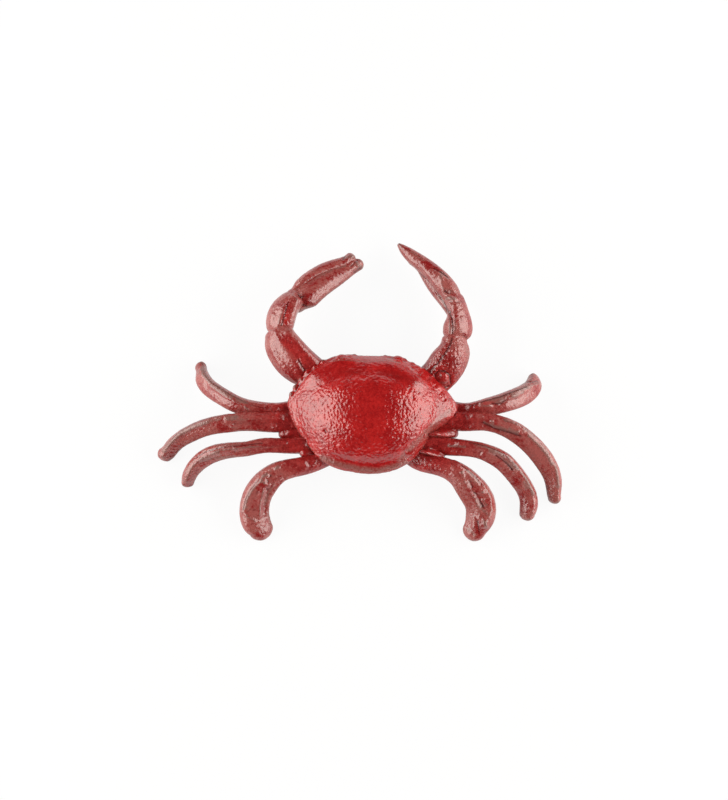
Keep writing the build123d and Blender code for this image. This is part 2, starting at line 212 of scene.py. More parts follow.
PAINT_IOR = 1.7
STEEL_GRAIN, STEEL_DEPTH = 0.6 * MM, 0.04 * MM
STEEL_ROUGHNESS = 0.35
RUST_SPOTS = (0.4, 0.7)


def aged_red(name, deep, bright, side, roughness, rub_start, pebble_depth):
    """Gloss red paint over cast iron, rubbed brown on the high spots, with painted shade that makes its
    recesses and grooves dark and its sloping sides brown
    """
    paint = Paint(name, Metallic=0.0, IOR=PAINT_IOR)
    mottle = paint.noise(MOTTLE, detail=4, roughness=0.6)
    grain = paint.noise(GRAIN, detail=3, roughness=0.65)
    speckle = paint.noise(SPECKLE, detail=2, roughness=0.6)
    patches = (mottle * 0.5 + grain * 0.3 + speckle * 0.2).between(*BRIGHT_PATCHES)
    colour = paint.blend(patches, deep, bright)
    # Painted shade: the more a face tilts away from facing up, the more it turns to the side colour
    steep = ragged(paint.mark("steep"), grain, RAGGED).between(*SHADED_SIDES)
    colour = paint.blend(steep * SIDE_SHADE_COVER, colour, side)
    dulled = (mottle * 0.6 + grain * 0.4).between(*DULL_PATCHES) * paint.mark("weathered")
    colour = paint.blend(dulled * DULL_COVER, colour, DULL_RED)
    rubbed = ragged(ragged(paint.mark("rub"), grain, RAGGED_RUB), mottle, RAGGED_RUB)
    rubbed = rubbed.between(rub_start, rub_start + RUB_SOFTNESS)
    colour = paint.blend(rubbed * RUB_COVER, colour, RUBBED_RED)
    # Painted shade: hollows, grooves and pits turn nearly black red
    recess_shade = ragged(paint.mark("recess_shade"), grain, RAGGED).between(*SHADED_RECESSES)
    colour = paint.blend(recess_shade * RECESS_SHADE_COVER, colour, RECESS_SHADE_RED)
    paint.feed("Base Color", colour)
    roughened = (grain - SMOOTH_GRAIN) * GRAIN_ROUGHNESS
    paint.feed("Roughness", roughness + roughened + rubbed * RUB_ROUGHNESS)
    pebbles = paint.cells(PEBBLE_SIZE, PEBBLE_WOBBLE * PEBBLE_SIZE)
    pebbles = pebbles * (1 - paint.mark("polished") * POLISHING)
    fine = paint.noise(FINE_GRAIN, detail=3, roughness=0.65)
    pebbled = paint.bump(pebbles, pebble_depth, strength=1.0)
    paint.feed("Normal", paint.bump(fine, FINE_DEPTH, FINE_STRENGTH, under=pebbled))
    return paint.material


def spotted_steel(name):
    """Bare steel with spots of rust"""
    steel = Paint(name, Metallic=1.0)
    grain = steel.noise(STEEL_GRAIN, detail=3, roughness=0.6)
    steel.feed("Base Color", steel.blend(grain.between(*RUST_SPOTS), STEEL_GREY, RUST))
    steel.feed("Roughness", STEEL_ROUGHNESS + grain * GRAIN_ROUGHNESS)
    steel.feed("Normal", steel.bump(grain, STEEL_DEPTH, strength=0.5))
    return steel.material


# Each paint's side colour is painted shade for its sloping sides
shell_paint = aged_red(
    "shell_paint", deep=(0.30, 0.007, 0.008), bright=(0.47, 0.015, 0.014), side=SIDE_SHADE_BROWN,
    roughness=0.14, rub_start=0.42, pebble_depth=0.22 * MM)
limb_paint = aged_red(
    "limb_paint", deep=(0.24, 0.011, 0.011), bright=(0.42, 0.026, 0.024), side=SIDE_SHADE_RED_BROWN,
    roughness=0.19, rub_start=0.32, pebble_depth=0.15 * MM)
belly_paint = aged_red(
    "belly_paint", deep=(0.25, 0.010, 0.010), bright=(0.42, 0.020, 0.019), side=SIDE_SHADE_BROWN,
    roughness=0.16, rub_start=0.60, pebble_depth=0.12 * MM)
screw_steel = spotted_steel("screw_steel")


# Meshes

def points_of(mesh):
    points = np.empty(len(mesh.vertices) * 3)
    mesh.vertices.foreach_get("co", points)
    return points.reshape(-1, 3)


def normals_of(mesh):
    normals = np.empty(len(mesh.vertices) * 3)
    mesh.vertices.foreach_get("normal", normals)
    return normals.reshape(-1, 3)


def edges_of(mesh):
    edges = np.empty(len(mesh.edges) * 2, dtype=np.int64)
    mesh.edges.foreach_get("vertices", edges)
    return edges.reshape(-1, 2)


def set_points(mesh, points):
    mesh.vertices.foreach_set("co", points.ravel())
    mesh.update()


def store(mesh, name, values):
    """Keep one value for each vertex, where the paint can read it"""
    attribute = mesh.attributes.new(name, "FLOAT", "POINT")
    attribute.data.foreach_set("value", values.astype(np.float32))


def spread(edges, values, rounds):
    """The values averaged with their neighbours' again and again"""
    count = np.bincount(edges.ravel(), minlength=len(values)).clip(1)
    if values.ndim > 1:
        count = count[:, None]
    for _ in range(rounds):
        total = np.zeros_like(values)
        np.add.at(total, edges[:, 0], values[edges[:, 1]])
        np.add.at(total, edges[:, 1], values[edges[:, 0]])
        values = (values + total / count) / 2
    return values


def rise(values, start, span):
    """0 up to the start, and from there evenly up to 1 at the end of the span"""
    return ((values - start) / span).clip(0, 1)


# Castings

MERGE_DISTANCE = 1e-6
SMOOTHING_FACTOR = 0.5


def casting(node, voxel, smoothing):
    """A closed, evenly meshed copy of a CAD piece with its edges softened as in a casting"""
    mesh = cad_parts[node].data.copy()
    piece = bpy.data.objects.new(node + "_casting", mesh)
    bpy.context.scene.collection.objects.link(piece)
    bpy.ops.object.select_all(action="DESELECT")
    piece.select_set(True)
    bpy.context.view_layer.objects.active = piece
    bpy.ops.object.mode_set(mode="EDIT")
    bpy.ops.mesh.select_all(action="SELECT")
    bpy.ops.mesh.remove_doubles(threshold=MERGE_DISTANCE)
    bpy.ops.object.mode_set(mode="OBJECT")
    remesh = piece.modifiers.new("remesh", "REMESH")
    remesh.mode = "VOXEL"
    remesh.voxel_size = voxel
    bpy.ops.object.modifier_apply(modifier="remesh")
    smooth = piece.modifiers.new("soften", "SMOOTH")
    smooth.factor = SMOOTHING_FACTOR
    smooth.iterations = smoothing
    bpy.ops.object.modifier_apply(modifier="soften")
    return piece


def roughen(piece, size, strength):
    """Displace the surface by one of Blender's cloud textures"""
    texture = bpy.data.textures.new("cast_skin", "CLOUDS")
    texture.noise_scale = size
    modifier = piece.modifiers.new("skin", "DISPLACE")
    modifier.texture = texture
    modifier.texture_coords = "LOCAL"
    modifier.strength = strength
    bpy.context.view_layer.objects.active = piece
    bpy.ops.object.modifier_apply(modifier="skin")


def search_trees():
    """For each CAD piece, a tree that finds the point of it nearest to another"""
    trees = {}
    for name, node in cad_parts.items():
        faces = [tuple(polygon.vertices) for polygon in node.data.polygons]
        trees[name] = BVHTree.FromPolygons(points_of(node.data).tolist(), faces)
    return trees


# How far off a neighbour is looked for, how near it has to be for a casting to swell towards it, and by
# how much it swells, in millimetres
SEAM_REACH, SEAM_NEAR, SEAM_SWELL = 1.2, 0.45, 0.22


def gap_to_others(points, node, trees, reach):
    """Distance from each point to the nearest other CAD piece, up to the reach"""
    gap = np.full(len(points), reach)
    for name, tree in trees.items():
        if name == node:
            continue
        low, high = np.array(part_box(name))
        close = ((points > low - reach) & (points < high + reach)).all(axis=1)
        for i in np.flatnonzero(close):
            place, _, _, distance = tree.find_nearest(Vector(points[i]), gap[i])
            if place is not None:
                gap[i] = distance
    return gap


def seat(piece, node, trees):
    """Swell a casting towards the pieces it meets, and return how near to a seam each point is"""
    mesh = piece.data
    points, normals = points_of(mesh), normals_of(mesh)
    reach = SEAM_REACH * MM
    gap = gap_to_others(points, node, trees, reach)
    near = (1 - gap / (SEAM_NEAR * MM)).clip(0, 1)
    set_points(mesh, points + normals * (near * SEAM_SWELL * MM)[:, None])
    return 1 - gap / reach


def keep_in_box(piece):
    """Hold a casting on the ground and inside the size of the whole figure"""
    low, high = np.array(cad_box)
    set_points(piece.data, points_of(piece.data).clip(low, high))


# Tool marks

# These shape the surface: a keel and a swelling rise from it, and a groove, a trough and a pit go in
KEEL, SWELL, GROOVE, TROUGH, PIT = "keel", "swell", "groove", "trough", "pit"

# These move it: up, up most at the start of the line, along the line, or back to a smooth flow
LIFT, RAMP, SMEAR, MELT = "lift", "ramp", "smear", "melt"

# These change its paint: rubbed, darkened as painted shade, without pebbles, with deeper ones, or without
# wear
RUB, PAINTED_SHADE, POLISHED, PEBBLED, FRESH = "rub", "recess_shade", "polished", "pebbled", "fresh"

# For each mark that shapes, which way it goes and whether it is rounded across
SHAPING = {KEEL: (1, False), SWELL: (1, True), GROOVE: (-1, False), TROUGH: (-1, True), PIT: (-1, True)}

FAR = 1e9
UPPER_START, UPPER_SPAN = -0.05, 0.4
MELT_ROUNDS = 150


def path_distance(points, path):
    """Distance in the plan from each point to a line through the path's points, in millimetres"""
    flat = points[:, :2] / MM
    best = np.full(len(points), FAR)
    for start, end in zip(path, path[1:]):
        start, end = np.array(start, float), np.array(end, float)
        along = end - start
        share = ((flat - start) @ along / (along @ along)).clip(0, 1)
        gap = np.linalg.norm(flat - start - share[:, None] * along, axis=1)
        best = np.minimum(best, gap)
    return best


def tool_mark(points, path, width, rounded):
    """1 on the path and 0 from the width on, as a tent or as a rounded hump"""
    share = (1 - path_distance(points, path) / width).clip(0, 1)
    return share * share * (3 - 2 * share) if rounded else share


def ramp(points, path, width):
    """1 at the start of a straight path, falling evenly to 0 at its end and to its sides"""
    start, end = np.array(path, float)
    along = end - start
    share = (points[:, :2] / MM - start) @ along / (along @ along)
    return (1 - share).clip(0, 1) * tool_mark(points, [start - along, end], width, True)


def melt(points, edges, tool_marks):
    """The points with those along the melting marks evened out, so that two masses flow together"""
    melted = np.zeros(len(points))
    for kind, width, amount, path in tool_marks:
        if kind == MELT:
            melted = np.maximum(melted, amount * tool_mark(points, path, width, True))
    if not melted.any():
        return points
    return points + (spread(edges, points, MELT_ROUNDS) - points) * melted[:, None]


def carve(piece, tool_marks):
    """Raise, cut, lift, smear and melt the upper side of a casting where its tool marks say"""
    mesh = piece.data
    points, normals = points_of(mesh), normals_of(mesh)
    upper = rise(normals[:, 2], UPPER_START, UPPER_SPAN)
    height = np.zeros(len(points))
    lift = np.zeros(len(points))
    smear = np.zeros((len(points), 2))
    for kind, width, amount, path in tool_marks:
        if kind in SHAPING:
            sign, rounded = SHAPING[kind]
            height += sign * amount * tool_mark(points, path, width, rounded)
        elif kind == LIFT:
            lift += amount * tool_mark(points, path, width, True)
        elif kind == RAMP:
            lift += amount * ramp(points, path, width)
        elif kind == SMEAR:
            start, end = np.array([path[0], path[-1]], float)
            way = (end - start) / np.linalg.norm(end - start)
            smear += amount * tool_mark(points, path, width, True)[:, None] * way
    points = points + normals * (height * upper * MM)[:, None]
    points[:, 2] += lift * upper * MM
    points[:, :2] += smear * MM
    set_points(mesh, melt(points, edges_of(mesh), tool_marks))


# Wear

# Rounds of averaging that give the surface without its relief, and that even the relief out
RELIEF_ROUNDS, RELIEF_SMOOTHING = 12, 2

# Millimetres of relief at which paint is fully rubbed and a hollow fully takes its painted shade
RUBBED_RELIEF, SHADE_RELIEF = 0.14, 0.12

# Where the weathering begins, in half widths of the shell from its middle, and over how many it grows
WEATHER_START, WEATHER_SPAN = 1.1, 0.4

SHELTERED_RUB = 0.2
# How much the painted shade in the hollows fades near a seam
SEAM_LESS_SHADE = 0.6
PEBBLED_STRENGTH = 2.5
# The groove depth at which a groove's painted shade is full, and the share of its half width that it covers
GROOVE_SHADE_DEPTH = 0.3
GROOVE_SHADE_WIDTH = 0.7


def shell_distance(points):
    """How far out in the plan each point lies, in half widths of the shell from its middle"""
    low, high = np.array(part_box("carapace"))
    return np.linalg.norm(((points - (low + high) / 2) / ((high - low) / 2))[:, :2], axis=1)


def mark_wear(piece, node, tool_marks, seams):
    """Store on each vertex how rubbed, polished and weathered the paint is, and how much painted shade it
    takes in recesses and grooves and on sloping sides
    """
    mesh = piece.data
    points, edges, normals = points_of(mesh), edges_of(mesh), normals_of(mesh)
    proud = ((points - spread(edges, points, RELIEF_ROUNDS)) * normals).sum(axis=1) / MM
    proud = spread(edges, proud, RELIEF_SMOOTHING)
    weathered = rise(shell_distance(points), WEATHER_START, WEATHER_SPAN)
    rub = rise(proud, 0, RUBBED_RELIEF) * (1 - seams)
    if node != "carapace":
        rub *= SHELTERED_RUB + (1 - SHELTERED_RUB) * weathered
    # Painted shade in the hollows, fading near the seams between castings
    recess_shade = rise(-proud, 0, SHADE_RELIEF) * (1 - SEAM_LESS_SHADE * seams)
    polished = np.zeros(len(points))
    for kind, width, amount, path in tool_marks:
        mark = (amount * tool_mark(points, path, width, True)).clip(0, 1)
        if kind == RUB:
            rub = np.maximum(rub, mark)
        elif kind == POLISHED:
            polished = np.maximum(polished, mark)
        elif kind == PEBBLED:
            polished = np.minimum(polished, -PEBBLED_STRENGTH * mark)
        elif kind == FRESH:
            weathered *= 1 - mark
            rub *= 1 - mark
        # Painted shade where a mark lays it on
        elif kind == PAINTED_SHADE:
            recess_shade = np.maximum(recess_shade, mark)
        # Grooves and pits take painted shade along their middles
        elif kind in (GROOVE, PIT):
            depth = min(1.0, amount / GROOVE_SHADE_DEPTH) ** 2
            recess_shade = np.maximum(recess_shade, depth * tool_mark(points, path, width * GROOVE_SHADE_WIDTH, False))
    store(mesh, "rub", rub)
    store(mesh, "recess_shade", recess_shade)
    # Painted shade on the sloping sides, by how far each face tilts from facing up
    store(mesh, "steep", (1 - normals[:, 2]).clip(0, 1))
    store(mesh, "polished", polished)
    store(mesh, "weathered", weathered)


def finish_piece(piece, node, material):
    """Paint a casting and put it in the place of its CAD piece"""
    mesh = piece.data
    mesh.materials.clear()
    mesh.materials.append(material)
    mesh.polygons.foreach_set("use_smooth", [True] * len(mesh.polygons))
    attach(piece, "root")
    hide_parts(node)


# The lines under the rear margins of the shell, along which the roots of the legs rise to it
LEFT_ROOTS = [(-24.0, -15.9), (-20.0, -23.0), (-15.1, -28.3)]
RIGHT_ROOTS = [(33.2, -14.0), (29.9, -16.1), (24.1, -22.3), (19.4, -27.8)]

# What a modeller's tools did to each upper side: the kind of mark, its half width in millimetres, its
# height, depth or shift in millimetres or else its strength, and the line it follows in the plan
TOOL_MARKS = {
    "left_claw_arm": [
        (KEEL, 2.6, 0.55, [
            (-31.1, 19.4), (-29.6, 16.7), (-27.3, 13.4), (-25.1, 10.1), (-22.9, 6.5), (-21.5, 4.1)]),
        (KEEL, 1.6, 0.3, [(-33.3, 17.7), (-32.6, 13.9), (-30.4, 9.6), (-27.0, 5.3), (-24.1, 2.6)]),
        (LIFT, 5.2, 1.7, [(-24.5, 19.3), (-20.0, 13.8), (-16.0, 8.9)]),
        (FRESH, 3.6, 1.6, [(-27.0, 16.3), (-22.5, 11.9), (-17.8, 7.4)]),
        (KEEL, 0.9, 0.3, [(-21.5, 8.9), (-20.0, 7.0), (-18.5, 5.6)]),
        (GROOVE, 0.9, 0.3, [(-22.2, 9.0), (-20.7, 6.2), (-18.9, 4.3)]),
    ],
    "left_claw_palm": [
        (PEBBLED, 4.0, 1.6, [(-26.0, 28.9), (-27.8, 19.4)]),
        (LIFT, 3.4, 1.3, [(-22.8, 32.2), (-23.5, 24.3)]),
        (FRESH, 2.8, 1.0, [(-26.4, 30.0), (-27.4, 20.2)]),
        (MELT, 4.5, 1.6, [(-27.9, 32.7), (-25.9, 37.3), (-22.5, 36.0)]),
        (KEEL, 2.2, 0.5, [
            (-31.1, 19.8), (-29.7, 23.1), (-28.6, 26.8), (-27.5, 30.4), (-26.5, 32.8), (-24.7, 35.7),
            (-22.1, 38.9), (-18.4, 42.0), (-14.7, 44.6), (-10.2, 46.2), (-5.4, 48.1)]),
        (GROOVE, 1.0, 0.35, [(-30.0, 19.5), (-28.6, 22.7), (-27.5, 26.9), (-26.4, 31.1)]),
        (SWELL, 2.0, 0.4, [(-32.7, 23.6), (-32.3, 26.2)]),
        (SWELL, 1.6, 0.5, [(-4.2, 50.0), (-2.7, 50.3)]),
        (GROOVE, 0.8, 0.4, [(-6.1, 49.2), (-5.4, 50.6)]),
        (RUB, 1.5, 0.8, [(-5.4, 50.6), (-1.6, 50.0)]),
    ],
    "left_claw_finger": [
        (SMEAR, 5.0, 2.2, [(-19.8, 28.6), (-22.4, 30.4)]),
        (MELT, 3.0, 1.0, [(-24.6, 32.1), (-22.0, 33.1)]),
        (GROOVE, 1.2, 0.5, [(-25.7, 32.0), (-23.1, 31.1), (-19.8, 30.6)]),
        (GROOVE, 1.0, 0.35, [(-26.1, 33.3), (-23.5, 33.2), (-20.6, 33.9)]),
        (KEEL, 1.3, 0.3, [(-23.1, 25.8), (-18.4, 29.9), (-13.9, 33.8), (-9.1, 38.0), (-2.7, 42.8)]),
        (TROUGH, 3.0, 0.5, [(-23.2, 35.5), (-19.9, 38.7), (-15.4, 41.9), (-10.2, 44.6), (-5.3, 46.7)]),
        (RUB, 1.4, 0.7, [(-19.1, 39.1), (-14.7, 42.3), (-9.1, 45.4), (-5.3, 46.7)]),
        (RUB, 1.0, 0.7, [(-22.7, 28.3), (-13.9, 33.7), (-2.7, 43.0)]),
        (SWELL, 1.3, 0.35, [(-1.6, 48.3), (0.3, 46.8)]),
        (GROOVE, 0.7, 0.4, [(-3.1, 46.6), (-0.8, 49.2)]),
        (GROOVE, 0.7, 0.4, [(-2.0, 44.5), (0.3, 46.4)]),
    ],
    "right_claw_arm": [
        (PEBBLED, 7.0, 1.6, [(31.3, 8.3), (35.8, 13.6), (36.5, 8.6)]),
        (GROOVE, 1.2, 0.3, [
            (26.2, 5.3), (28.4, 7.4), (30.2, 9.4), (32.1, 12.0), (33.6, 14.7), (34.4, 17.5)]),
        (KEEL, 1.4, 0.25, [(28.4, 5.2), (30.6, 7.6), (32.8, 10.5), (34.3, 13.5)]),
        (SWELL, 5.0, 0.9, [(35.4, 7.3), (36.9, 12.1)]),
        (GROOVE, 0.9, 0.35, [
            (28.0, 1.8), (28.0, 4.2), (29.5, 5.4), (31.7, 5.2), (33.6, 3.8), (34.0, 1.4)]),
        (GROOVE, 0.9, 0.3, [(28.7, 0.2), (30.9, -0.8), (33.3, 0.6)]),
        (RUB, 1.2, 0.6, [(39.5, 14.9), (40.7, 11.5), (40.0, 8.1)]),
    ],
    "right_claw_palm": [
        (GROOVE, 0.9, 0.5, [(34.4, 18.3), (34.7, 21.9), (34.4, 25.1), (33.4, 28.0)]),
        (GROOVE, 1.0, 0.45, [(33.4, 28.0), (32.0, 31.4), (29.5, 36.3), (26.5, 40.5), (23.2, 44.5)]),
        (KEEL, 1.2, 0.35, [(33.6, 18.7), (33.7, 22.4), (33.7, 25.6)]),
        (TROUGH, 1.6, 0.5, [(34.4, 17.9), (36.2, 17.9), (38.9, 18.2)]),
        (TROUGH, 1.2, 0.35, [(32.7, 32.4), (35.3, 31.4), (38.3, 32.4)]),
        (SWELL, 1.3, 0.35, [(33.1, 33.1), (35.7, 32.6)]),
        (RUB, 1.2, 0.9, [(32.7, 33.1), (36.0, 32.6)]),
        (RUB, 0.9, 0.6, [(21.4, 46.2), (24.4, 41.8), (27.3, 37.7), (30.2, 33.6)]),
    ],
    "right_claw_finger": [
        (GROOVE, 1.1, 0.5, [(32.0, 36.1), (34.6, 34.5), (37.9, 33.6)]),
        (GROOVE, 1.0, 0.3, [(28.0, 45.2), (30.6, 43.6), (33.2, 41.6)]),
        (KEEL, 1.3, 0.35, [(30.6, 41.9), (30.9, 38.7), (31.7, 36.5)]),
        (KEEL, 1.2, 0.25, [(24.3, 45.5), (26.5, 42.2), (28.7, 39.0)]),
        (RUB, 1.3, 0.8, [(30.3, 44.0), (32.9, 42.0)]),
        (RUB, 1.2, 0.7, [(15.4, 54.4), (19.9, 52.1), (24.3, 48.6)]),
        (RUB, 0.9, 0.6, [(35.8, 38.5), (38.3, 33.6), (38.6, 31.1)]),
        # Painted shade along the groove at the base of the finger
        (PAINTED_SHADE, 1.4, 0.5, [(32.0, 36.5), (35.7, 35.5)]),
    ],
    "left_leg_1": [
        (KEEL, 2.0, 0.65, [
            (-60.1, 9.2), (-58.2, 5.2), (-55.3, 1.8), (-51.5, -1.2), (-47.6, -3.8), (-43.9, -6.0),
            (-40.2, -7.9), (-35.8, -8.7), (-31.0, -9.5)]),
        # Painted shade: a dark line beside the keel, between its lit and unlit facets
        (PAINTED_SHADE, 0.6, 0.7, [
            (-58.7, 5.4), (-55.3, 1.8), (-51.5, -0.8), (-47.7, -3.5), (-43.9, -5.7), (-40.2, -7.5),
            (-35.8, -8.5), (-32.1, -9.1)]),
        (KEEL, 1.0, 0.33, [(-54.9, 0.1), (-51.0, -2.8), (-46.8, -5.6), (-42.8, -7.9), (-40.9, -8.9)]),
        (SWELL, 1.2, 0.3, [(-58.0, 1.6), (-57.3, 0.5)]),
        (SWELL, 1.2, 0.3, [(-41.7, -8.3), (-41.3, -9.3)]),
        (RUB, 1.0, 0.8, [(-61.2, 9.5), (-59.8, 5.6)]),
        (RUB, 1.0, 0.8, [(-50.6, -2.1), (-47.2, -4.5)]),
    ],
    "left_leg_2": [
        (LIFT, 6.5, 1.8, LEFT_ROOTS),
        (KEEL, 1.8, 0.65, [
            (-73.0, -24.6), (-69.8, -20.6), (-65.6, -16.8), (-60.6, -14.4), (-54.9, -12.9),
            (-48.2, -11.7)]),
        # Painted shade: a dark line beside the keel, between its lit and unlit facets
        (PAINTED_SHADE, 0.6, 0.7, [
            (-69.4, -19.5), (-65.5, -16.1), (-60.6, -13.8), (-54.9, -12.3), (-48.9, -11.4)]),
        (KEEL, 1.0, 0.39, [
            (-72.5, -22.9), (-69.3, -20.1), (-65.5, -17.5), (-60.1, -15.3), (-55.6, -14.2)]),
        (KEEL, 1.8, 0.52, [(-48.2, -13.3), (-41.9, -13.2), (-35.7, -12.8), (-29.2, -12.2)]),
        (TROUGH, 1.8, 0.4, [(-45.6, -14.5), (-38.3, -14.4), (-31.0, -14.1), (-25.5, -14.5)]),
        (KEEL, 1.2, 0.39, [(-46.7, -15.7), (-40.2, -15.9), (-32.8, -16.0)]),
        (SWELL, 1.3, 0.35, [(-46.3, -12.5), (-45.2, -11.8)]),
        (SWELL, 1.3, 0.35, [(-29.9, -10.7), (-27.3, -10.7)]),
        (RUB, 1.0, 0.6, [(-72.9, -21.8), (-70.9, -19.8)]),
        (RUB, 1.0, 0.6, [(-43.8, -16.7), (-34.7, -17.0)]),
    ],
    "left_leg_3": [
        (LIFT, 6.5, 1.8, LEFT_ROOTS),
        (KEEL, 1.8, 0.65, [
            (-63.9, -34.0), (-62.1, -30.1), (-58.7, -27.0), (-54.8, -25.1), (-50.3, -24.0),
            (-43.7, -23.6), (-35.6, -22.8), (-27.3, -21.8)]),
        (GROOVE, 0.8, 0.3, [
            (-60.1, -26.6), (-56.7, -24.6), (-51.1, -23.4), (-43.7, -22.8), (-35.6, -21.8)]),
        (KEEL, 1.0, 0.45, [(-58.2, -27.1), (-54.1, -25.7), (-51.4, -25.0)]),
        (TROUGH, 1.4, 0.35, [(-45.5, -24.7), (-38.2, -23.9), (-29.1, -23.4), (-21.8, -22.4)]),
        (RUB, 1.2, 0.7, [(-60.2, -28.4), (-54.9, -27.1), (-45.6, -26.3)]),
        (RUB, 1.2, 0.7, [(-52.6, -22.3), (-43.7, -22.5)]),
        (SWELL, 1.0, 0.3, [(-53.0, -24.8), (-51.5, -24.5)]),
        (SWELL, 1.0, 0.3, [(-45.5, -23.7), (-44.8, -24.1)]),
    ],
    "left_leg_4": [
        (LIFT, 5.0, 1.0, LEFT_ROOTS[:2]),
        (KEEL, 2.0, 0.65, [(-35.6, -35.1), (-38.9, -38.0), (-41.2, -41.5), (-42.3, -45.0)]),
        (KEEL, 2.0, 0.59, [(-35.6, -35.8), (-35.3, -39.3), (-36.4, -43.2), (-36.8, -47.1)]),
        (TROUGH, 1.6, 0.4, [(-33.8, -38.6), (-35.0, -42.7), (-35.5, -47.7)]),
        (GROOVE, 0.8, 0.3, [(-36.7, -34.7), (-40.1, -38.6), (-41.9, -42.1), (-42.7, -45.7)]),
        (TROUGH, 1.4, 0.3, [(-42.0, -46.4), (-39.8, -45.5), (-37.9, -45.7)]),
        (KEEL, 1.0, 0.39, [(-42.7, -46.0), (-40.9, -48.2), (-38.4, -49.5)]),
        (SWELL, 1.3, 0.45, [(-30.5, -31.1), (-29.7, -30.4)]),
        (SWELL, 1.3, 0.45, [(-34.9, -33.6), (-33.8, -33.3)]),
        (SWELL, 1.3, 0.45, [(-34.5, -36.2), (-33.4, -36.9)]),
        (SWELL, 1.3, 0.45, [(-20.2, -28.8), (-19.5, -29.9)]),
        (TROUGH, 1.5, 0.35, [(-32.7, -33.6), (-30.5, -34.0), (-27.9, -33.6)]),
        (RUB, 1.4, 0.7, [(-31.3, -36.4), (-33.5, -39.9), (-34.7, -43.4)]),
        (RUB, 1.4, 0.7, [(-33.6, -46.2), (-33.0, -50.6)]),
        (KEEL, 1.6, 0.45, [(-27.2, -28.9), (-21.7, -27.7)]),
    ],
    "right_leg_1": [
        (KEEL, 2.0, 0.72, [
            (40.9, -8.0), (46.4, -6.4), (51.9, -4.9), (57.5, -2.5), (63.5, 0.4), (66.4, 1.8)]),
        # Painted shade: a dark line beside the keel, between its lit and unlit facets
        (PAINTED_SHADE, 0.7, 0.9, [(40.9, -7.8), (46.4, -6.0), (51.9, -4.6), (57.5, -2.1), (62.3, -0.2)]),
        (KEEL, 1.1, 0.45, [(43.1, -8.4), (48.9, -7.5), (55.6, -4.8), (60.3, -2.5)]),
        (GROOVE, 0.9, 0.3, [(48.9, -7.1), (51.9, -7.1), (54.2, -5.5)]),
        (SWELL, 1.3, 0.4, [(56.4, -4.0), (58.3, -3.9)]),
        (SWELL, 1.3, 0.4, [(45.3, -7.4), (48.2, -7.9)]),
        (GROOVE, 0.7, 0.35, [(61.4, 2.7), (64.4, 2.3), (66.4, 3.3)]),
        (RUB, 1.0, 0.8, [(53.8, -4.5), (59.5, -1.8), (63.5, -0.3)]),
        (RUB, 1.0, 0.8, [(50.8, -7.1), (52.6, -6.4)]),
    ],
    "right_leg_2": [
        (LIFT, 6.5, 2.2, RIGHT_ROOTS),
        (KEEL, 1.8, 0.59, [
            (54.0, -13.4), (59.1, -15.4), (62.8, -17.9), (66.6, -21.0), (70.3, -25.6), (72.6, -30.2),
            (73.5, -36.1)]),
        # Painted shade: a dark line beside the keel, between its lit and unlit facets
        (PAINTED_SHADE, 0.6, 0.7, [(53.9, -13.7), (59.1, -15.4), (62.8, -17.9), (66.6, -21.0), (69.9, -25.4)]),
        (KEEL, 1.0, 0.39, [(62.0, -19.1), (65.4, -21.9), (68.7, -25.4), (70.7, -28.9)]),
        (KEEL, 1.8, 0.52, [(36.4, -10.8), (42.6, -11.2), (48.1, -13.3), (53.5, -16.2), (59.0, -18.4)]),
        (GROOVE, 1.0, 0.35, [(45.9, -14.3), (49.9, -16.1), (54.7, -17.6), (59.4, -19.1)]),
        (TROUGH, 1.8, 0.4, [(35.3, -14.3), (40.8, -14.5), (45.1, -14.3)]),
        (SWELL, 1.2, 0.35, [(41.9, -11.6), (45.2, -12.1)]),
        (SWELL, 1.2, 0.35, [(48.8, -13.6), (49.6, -15.4)]),
        (SWELL, 1.2, 0.35, [(55.4, -16.2), (58.3, -17.3)]),
        (RUB, 1.1, 0.8, [(45.9, -13.9), (51.7, -16.2), (58.3, -18.4)]),
        (RUB, 1.1, 0.8, [(60.9, -16.5), (64.7, -19.3)]),
    ],
    "right_leg_3": [
        (LIFT, 6.5, 2.2, RIGHT_ROOTS),
        (KEEL, 1.8, 0.65, [
            (37.0, -21.6), (43.6, -22.5), (49.4, -24.4), (54.6, -26.8), (58.0, -30.3), (61.5, -34.7),
            (64.2, -39.2)]),
        (GROOVE, 0.8, 0.3, [(40.7, -21.6), (46.1, -22.9), (51.6, -25.0), (55.8, -28.1), (58.8, -31.5)]),
        (GROOVE, 0.9, 0.35, [(50.2, -26.2), (53.9, -28.9), (56.5, -31.3)]),
        (KEEL, 1.0, 0.39, [(56.9, -32.0), (59.6, -34.8), (61.5, -37.6)]),
        (TROUGH, 1.4, 0.4, [(33.5, -23.8), (38.8, -24.6), (44.3, -25.4)]),
        (SWELL, 1.2, 0.3, [(47.9, -25.1), (49.4, -25.5)]),
        (SWELL, 1.2, 0.3, [(56.1, -29.2), (57.6, -30.7)]),
        (RUB, 1.1, 0.8, [(51.6, -25.8), (56.2, -30.6)]),
        (RUB, 1.1, 0.8, [(60.7, -35.4), (63.4, -38.6)]),
        (RUB, 1.1, 0.8, [(32.7, -22.5), (38.8, -23.1)]),
    ],
    "right_leg_4": [
        (LIFT, 5.0, 1.2, [(29.9, -16.1), (24.2, -22.6)]),
        (KEEL, 2.0, 0.65, [
            (35.2, -28.9), (40.7, -32.2), (45.1, -36.4), (48.1, -41.0), (48.5, -45.7), (46.4, -50.6)]),
        (KEEL, 2.0, 0.52, [(35.1, -33.3), (38.8, -37.7), (42.9, -42.2), (44.5, -46.7), (44.5, -51.0)]),
        (GROOVE, 0.9, 0.3, [(37.7, -30.0), (41.4, -32.9), (44.7, -36.5)]),
        (TROUGH, 1.6, 0.4, [(40.6, -35.9), (42.9, -40.0), (45.2, -44.3)]),
